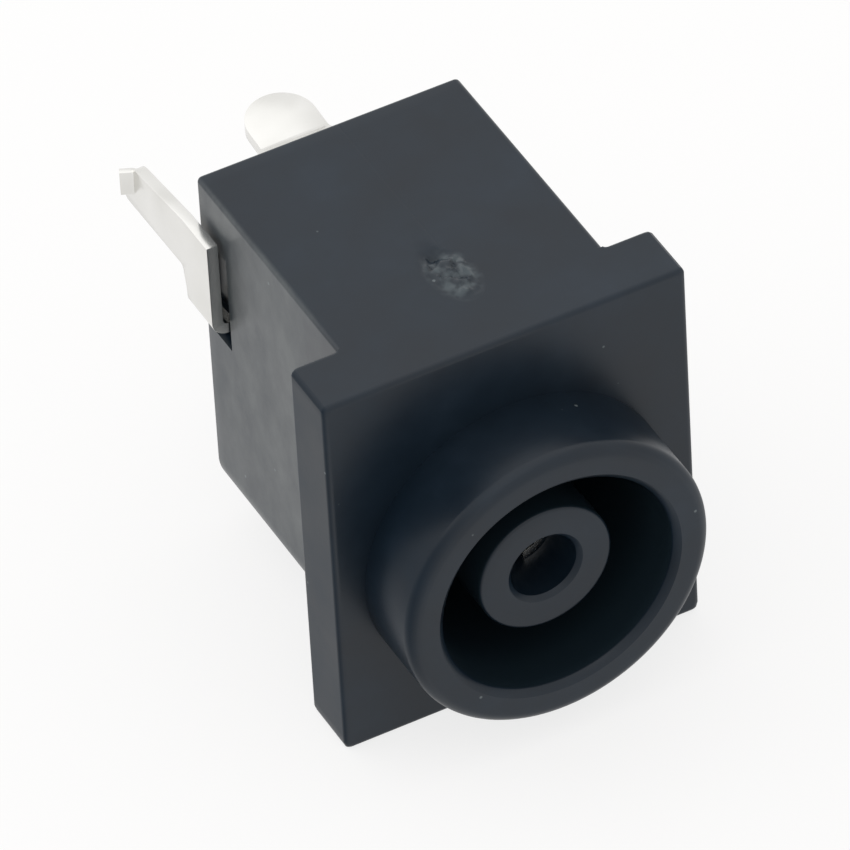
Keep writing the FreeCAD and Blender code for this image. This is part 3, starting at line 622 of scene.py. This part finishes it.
def painted_bore_shade_share(tree, axes):
    """Share of painted shade: one in the ring-shaped space round the post, between its mouth and its floor,
    and zero elsewhere.
    """
    across = add(tree, "ShaderNodeCombineXYZ", {"X": axes.outputs["X"], "Y": 0.0, "Z": axes.outputs["Z"]})
    radius = add(tree, "ShaderNodeVectorMath", {0: across.outputs[0]}, operation="LENGTH")
    beyond_post = add(tree, "ShaderNodeMath", {
        0: radius.outputs["Value"], 1: (POST_R - 0.02) * MM,
    }, operation="GREATER_THAN")
    within_bore = add(tree, "ShaderNodeMath", {
        0: radius.outputs["Value"], 1: (BORE_R + 0.01) * MM,
    }, operation="LESS_THAN")
    past_mouth = add(tree, "ShaderNodeMath", {
        0: axes.outputs["Y"], 1: (MOUTH_FUNNEL - NOSE_LENGTH) * MM,
    }, operation="GREATER_THAN")
    ahead_of_floor = add(tree, "ShaderNodeMath", {
        0: axes.outputs["Y"], 1: (BORE_FLOOR + 0.1) * MM,
    }, operation="LESS_THAN")
    between = add(tree, "ShaderNodeMath", {
        0: beyond_post.outputs[0], 1: within_bore.outputs[0],
    }, operation="MULTIPLY")
    along = add(tree, "ShaderNodeMath", {
        0: past_mouth.outputs[0], 1: ahead_of_floor.outputs[0],
    }, operation="MULTIPLY")
    painted_bore_shade = add(tree, "ShaderNodeMath", {0: between.outputs[0], 1: along.outputs[0]}, operation="MULTIPLY")
    return painted_bore_shade.outputs[0]


print("haze in patches of", HAZE_AND_LIGHT_PATCH_SIZE, "mm, tears of", TEAR_SIZE, "mm")

# %% [markdown]
# The housing is injection-moulded PBT, dyed black: to the eye a dark slate with a satin sheen, since
# the mould's fine spark-eroded grain is printed on its skin. Its index of refraction is about 1.55. The
# base colour goes from layer to layer through Mix nodes, so each layer can be changed alone.

# %% Moulded black
CLOUD_SIZE, DUST_SPACING = 2.5, 1.3
GRAIN_SIZE, GRAIN_HEIGHT = 0.06, 0.004
PBT_IOR = 1.55


def moulded_colour(tree, place, clouds, shares):
    """Base colour: a cloudy slate, with haze and painted light on the flank, torn scar, dust and painted
    shade in the space round the post laid over it in turn.

    The specks of dust are about 0.05 mm across and far apart."""
    haze_and_painted_light, torn, painted_bore_shade = shares
    tone = add(tree, "ShaderNodeValToRGB", {"Fac": clouds.outputs["Fac"]}, [
        (0.3, "#111b25"), (0.55, "#14202b"), (0.75, "#1a2632"),
    ])
    dust = add(tree, "ShaderNodeTexVoronoi", {"Vector": place, "Scale": 1 / (DUST_SPACING * MM)})
    speck = add(tree, "ShaderNodeValToRGB", {"Fac": dust.outputs["Distance"]}, [(0.028, 0.5), (0.042, 0.0)])
    colour = tone.outputs["Color"]
    dusty = speck.outputs["Color"]
    # Laid on in turn: haze and painted light on the flank, torn plastic, dust, and painted shade in the
    # space round the post.
    for share, code in ((haze_and_painted_light, "#4a4f51"), (torn, "#434c51"), (dusty, "#7d8688"), (painted_bore_shade, "#1a252c")):
        laid = add(tree, "ShaderNodeMix", {
            0: share, FIRST_COLOUR: colour, SECOND_COLOUR: linear(code),
        }, data_type="RGBA")
        colour = laid.outputs[COLOUR_RESULT]
    return colour


def gloss_with_painted_shade(tree, axes, painted_bore_shade):
    """Specular level: 0.3 on broad faces, less on the flange's edges and the nose's flanks and least
    inside, which is painted shade.

    How far a face looks sideways is the size of its normal's X."""
    normal = add(tree, "ShaderNodeTexCoord").outputs["Normal"]
    facing = add(tree, "ShaderNodeSeparateXYZ", {"Vector": normal})
    sideways = add(tree, "ShaderNodeMath", {0: facing.outputs["X"]}, operation="ABSOLUTE")
    # In front of the flange, faces that look sideways reflect less: painted shade on the nose's flanks and
    # the flange's edges.
    flanks = add(tree, "ShaderNodeMapRange", {
        "Value": sideways.outputs[0], "From Min": 0.3, "From Max": 0.8, "To Min": 0.3, "To Max": 0.1,
    })
    in_front = add(tree, "ShaderNodeMath", {
        0: axes.outputs["Y"], 1: (FLANGE_DEPTH - 0.01) * MM,
    }, operation="LESS_THAN")
    gloss = add(tree, "ShaderNodeMix", {
        0: in_front.outputs[0], FIRST_NUMBER: 0.3, SECOND_NUMBER: flanks.outputs[0],
    })
    # In the space round the post the level falls to 0.08, as painted shade.
    gloss_with_bore_shade = add(tree, "ShaderNodeMix", {
        0: painted_bore_shade, FIRST_NUMBER: gloss.outputs[NUMBER_RESULT], SECOND_NUMBER: 0.08,
    })
    return gloss_with_bore_shade.outputs[NUMBER_RESULT]


def moulded_black():
    """Satin black moulding with fine grain, cloudy sheen and a few pale specks."""
    material, tree, shader = new_material("moulded_black_pbt")
    place = add(tree, "ShaderNodeTexCoord").outputs["Object"]
    axes = add(tree, "ShaderNodeSeparateXYZ", {"Vector": place})
    clouds = add(tree, "ShaderNodeTexNoise", {
        "Vector": place, "Scale": 1 / (CLOUD_SIZE * MM), "Detail": 4.0, "Roughness": 0.6,
    })
    painted_bore_shade = painted_bore_shade_share(tree, axes)
    shares = (haze_and_painted_light_share(tree, place, axes), torn_share(tree, place), painted_bore_shade)
    sheen = add(tree, "ShaderNodeValToRGB", {"Fac": clouds.outputs["Fac"]}, [(0.3, 0.28), (0.7, 0.38)])
    grain = add(tree, "ShaderNodeTexNoise", {
        "Vector": place, "Scale": 1 / (GRAIN_SIZE * MM), "Detail": 2.0,
    })
    bump = add(tree, "ShaderNodeBump", {
        "Height": grain.outputs["Fac"], "Strength": 0.25, "Distance": GRAIN_HEIGHT * MM,
    })
    tree.links.new(moulded_colour(tree, place, clouds, shares), shader.inputs["Base Color"])
    tree.links.new(sheen.outputs["Color"], shader.inputs["Roughness"])
    tree.links.new(gloss_with_painted_shade(tree, axes, painted_bore_shade), shader.inputs["Specular IOR Level"])
    tree.links.new(bump.outputs["Normal"], shader.inputs["Normal"])
    shader.inputs["IOR"].default_value = PBT_IOR
    return material


black = moulded_black()
housing.data.materials.append(black)
print(black.name, len(black.node_tree.nodes), "nodes")

# %% [markdown]
# The contacts are sheet brass under bright tin: nearly white, a little warm, softly mirroring what is
# round them. Tin is plated on, so the sheen is cloudy and has no direction, and a very fine grain keeps
# the mirror soft. A metal keeps the default index of refraction, because its colour sets what it mirrors.

# %% Tinned sheet
TIN_CLOUD_SIZE = 1.6
TIN_GRAIN_SIZE, TIN_GRAIN_HEIGHT = 0.05, 0.002


def tinned_sheet():
    """Bright tin plate: a cloudy near-white, a roughness of 0.2 to 0.27 and a faint grain."""
    material, tree, shader = new_material("bright_tin_plate")
    place = add(tree, "ShaderNodeTexCoord").outputs["Object"]
    clouds = add(tree, "ShaderNodeTexNoise", {
        "Vector": place, "Scale": 1 / (TIN_CLOUD_SIZE * MM), "Detail": 2.0,
    })
    tone = add(tree, "ShaderNodeValToRGB", {"Fac": clouds.outputs["Fac"]}, [
        (0.3, "#dddcd8"), (0.7, "#e8e7e4"),
    ])
    rough = add(tree, "ShaderNodeValToRGB", {"Fac": clouds.outputs["Fac"]}, [(0.3, 0.2), (0.7, 0.27)])
    grain = add(tree, "ShaderNodeTexNoise", {
        "Vector": place, "Scale": 1 / (TIN_GRAIN_SIZE * MM), "Detail": 2.0,
    })
    bump = add(tree, "ShaderNodeBump", {
        "Height": grain.outputs["Fac"], "Strength": 0.1, "Distance": TIN_GRAIN_HEIGHT * MM,
    })
    tree.links.new(tone.outputs["Color"], shader.inputs["Base Color"])
    tree.links.new(rough.outputs["Color"], shader.inputs["Roughness"])
    tree.links.new(bump.outputs["Normal"], shader.inputs["Normal"])
    shader.inputs["Metallic"].default_value = 1.0
    return material


tin = tinned_sheet()
for contact in contacts:
    contact.data.materials.append(tin)
for name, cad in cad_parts.items():
    cad.data.materials.clear()
    cad.data.materials.append(black if name == "housing" else tin)
print(tin.name, "on", len(contacts), "contacts")

# %% [markdown]
# The jack stands on a white table, on the lower edge of its flange. A white background could come from
# strong lamps, but those would bleach the part. So the table and the world are plain white only for
# rays that the camera sees, straight or in a reflection, and softer where they give light.

# %% Table
TABLE_HALF, TABLE_GAP = 400.0, 0.01
PLAIN_WHITE_SHARE = 0.78


def seen_directly(tree):
    """One for rays from the camera, straight, by way of a mirror or through glass, and zero for light."""
    rays = add(tree, "ShaderNodeLightPath")
    camera_or_glossy = add(tree, "ShaderNodeMath", {
        0: rays.outputs["Is Camera Ray"], 1: rays.outputs["Is Glossy Ray"],
    }, operation="MAXIMUM")
    either_or_glass = add(tree, "ShaderNodeMath", {
        0: camera_or_glossy.outputs[0], 1: rays.outputs["Is Transmission Ray"],
    }, operation="MAXIMUM")
    return either_or_glass.outputs[0]


def make_table():
    """A large white square under the part.

    Where it is seen, most of it is plain white, so that the part's shadow on the rest is faint."""
    half, low = TABLE_HALF, FLANGE_BOTTOM - TABLE_GAP
    corners = [(-half, -half, low), (half, -half, low), (half, half, low), (-half, half, low)]
    table = piece_from_arrays("table", corners, [[0, 1, 2, 3]])
    material, tree, shader = new_material("white_table")
    shader.inputs["Base Color"].default_value = linear("#fbf9f7")
    shader.inputs["Roughness"].default_value = 0.9
    shader.inputs["Specular IOR Level"].default_value = 0.1
    bright = add(tree, "ShaderNodeEmission", {"Color": linear("#ffffff"), "Strength": 1.0})
    share = add(tree, "ShaderNodeMath", {
        0: seen_directly(tree), 1: PLAIN_WHITE_SHARE,
    }, operation="MULTIPLY")
    blend = add(tree, "ShaderNodeMixShader", {
        0: share.outputs[0], 1: shader.outputs[0], 2: bright.outputs[0],
    })
    output = next(node for node in tree.nodes if node.bl_idname == "ShaderNodeOutputMaterial")
    tree.links.new(blend.outputs[0], output.inputs["Surface"])
    table.data.materials.append(material)


make_table()

# %% [markdown]
# Small parts are photographed in a light tent, with one large soft box above and one at the side. The
# world is the tent and two area lamps are the boxes. They are large and dim, because metal mirrors a
# lamp as it is, and a small strong one would burn white spots into the tin.

# %% World and lamps
WORLD_LIGHT, WORLD_SEEN = 0.8, 1.0
LAMP_AIM = (0, 4, 0)


def make_world():
    """Even white surroundings: plain white to the camera and in reflections, softer as light."""
    world = bpy.data.worlds.new("white_room")
    bpy.context.scene.world = world
    world.use_nodes = True
    tree = world.node_tree
    tree.nodes.clear()
    light = add(tree, "ShaderNodeBackground", {"Color": linear("#ffffff"), "Strength": WORLD_LIGHT})
    seen = add(tree, "ShaderNodeBackground", {"Color": linear("#ffffff"), "Strength": WORLD_SEEN})
    mixed = add(tree, "ShaderNodeMixShader", {
        0: seen_directly(tree), 1: light.outputs[0], 2: seen.outputs[0],
    })
    add(tree, "ShaderNodeOutputWorld", {"Surface": mixed.outputs[0]})


def make_lamp(name, place, size, power):
    """A square soft box at a place in millimetres, facing the middle of the part."""
    lamp = bpy.data.lights.new(name, "AREA")
    lamp.shape = "SQUARE"
    lamp.size = size * MM
    lamp.energy = power
    holder = bpy.data.objects.new(name, lamp)
    bpy.context.scene.collection.objects.link(holder)
    holder.location = Vector(place) * MM
    holder.rotation_euler = (Vector(LAMP_AIM) - Vector(place)).to_track_quat("-Z", "Y").to_euler()
    print(name, size, "mm wide,", power, "W")


make_world()
make_lamp("top_box", (-88, 88, 380), size=800, power=0.6)
make_lamp("left_box", (-296, 237, 133), size=360, power=0.34)

# %% [markdown]
# The camera stands where the photograph was taken from: 26 degrees to the left of the nose and 42
# degrees above it, with a long lens, and rolled a few degrees. Its axes are worked out from those
# angles, which is easier to match to a photograph than turning a camera by hand.

# %% Camera
AZIMUTH, ELEVATION, ROLL = math.radians(-25.85), math.radians(42.08), math.radians(-3.5)
DISTANCE, LENS_PIXELS, FRAME_PIXELS, SENSOR = 315.75, 12180.0, 850.0, 36.0
AIM = Vector((-0.52, 3.9, 0.92))
NEAREST, FARTHEST = 0.01, 10


def make_camera():
    """Camera at an angle from the front, looking at the middle of the part."""
    away = Vector((
        math.sin(AZIMUTH) * math.cos(ELEVATION),
        -math.cos(AZIMUTH) * math.cos(ELEVATION),
        math.sin(ELEVATION),
    ))
    right = (-away).cross(Vector((0, 0, 1))).normalized()
    up = right.cross(-away)
    turned_right = math.cos(ROLL) * right + math.sin(ROLL) * up
    turned_up = -math.sin(ROLL) * right + math.cos(ROLL) * up
    axes = Matrix((turned_right, turned_up, away)).transposed().to_4x4()
    data = bpy.data.cameras.new("camera")
    data.sensor_width = SENSOR
    data.lens = LENS_PIXELS / FRAME_PIXELS * SENSOR
    data.clip_start = NEAREST
    data.clip_end = FARTHEST
    holder = bpy.data.objects.new("camera", data)
    bpy.context.scene.collection.objects.link(holder)
    holder.matrix_world = Matrix.Translation((AIM + away * DISTANCE) * MM) @ axes
    bpy.context.scene.camera = holder
    print("camera", DISTANCE, "mm away, lens", round(data.lens), "mm")


make_camera()
bpy.context.scene.view_settings.view_transform = "Standard"

# %% [markdown]
# Last, the scene's view layer is brought up to date.

# %% Finish
bpy.context.view_layer.update()
